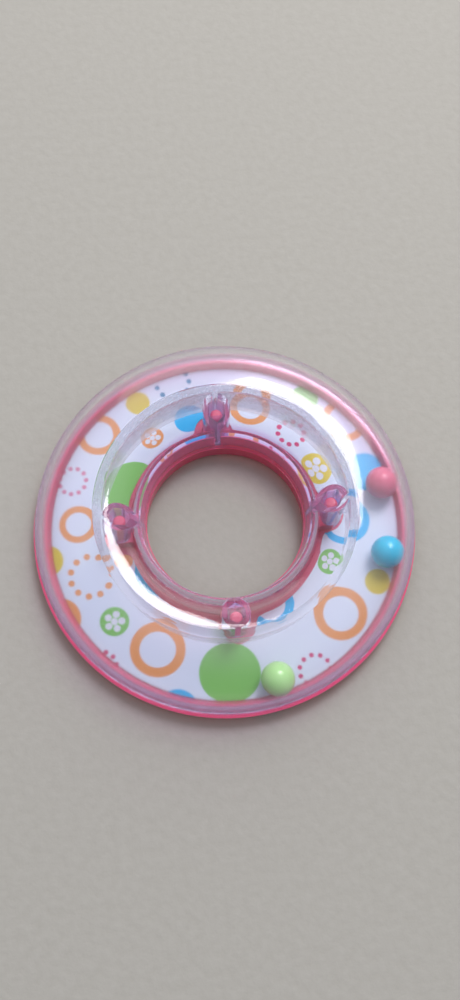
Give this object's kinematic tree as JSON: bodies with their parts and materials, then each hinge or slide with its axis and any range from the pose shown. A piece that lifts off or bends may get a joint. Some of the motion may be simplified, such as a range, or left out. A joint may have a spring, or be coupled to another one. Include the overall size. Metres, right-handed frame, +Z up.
{
  "type": "stacking ring toy",
  "caption": "Round rattle ring with a clear domed cover on a red tray, a patterned card inside, loose beads in an outer track and a centre hole for a stacking post.",
  "frame": {"origin": "on the axis of the centre hole, in the plane the ring rests on", "axes": "+Z up along the hole's axis; the tray's four pins stand on the X and Y axes; +X is the pin to the right in the reference view"},
  "size_m": [0.085, 0.085, 0.018],
  "materials": {
    "red_plastic": "translucent red moulded plastic, glossy",
    "clear_plastic": "clear polystyrene, glossy",
    "card": "pearly white card printed with discs, rings and dots",
    "pink_plastic": "glossy",
    "blue_plastic": "glossy",
    "green_plastic": "glossy"
  },
  "bodies": {
    "shell": {"base_shell": "red_plastic", "top_shell": "clear_plastic", "printed_card": "card"},
    "pink_bead": {"bead_pink": "pink_plastic"},
    "blue_bead": {"bead_blue": "blue_plastic"},
    "green_bead": {"bead_green": "green_plastic"}
  },
  "joints": [
    {"name": "pink_bead_orbit", "type": "hinge", "parent": "shell", "child": "pink_bead", "pos_m": [0, 0, 0], "axis": [0, 0, 1], "continuous": true},
    {"name": "blue_bead_orbit", "type": "hinge", "parent": "pink_bead", "child": "blue_bead", "pos_m": [0, 0, 0], "axis": [0, 0, 1], "range_deg": [-147, 13]},
    {"name": "green_bead_orbit", "type": "hinge", "parent": "blue_bead", "child": "green_bead", "pos_m": [0, 0, 0], "axis": [0, 0, 1], "range_deg": [-111, 48]}
  ]
}
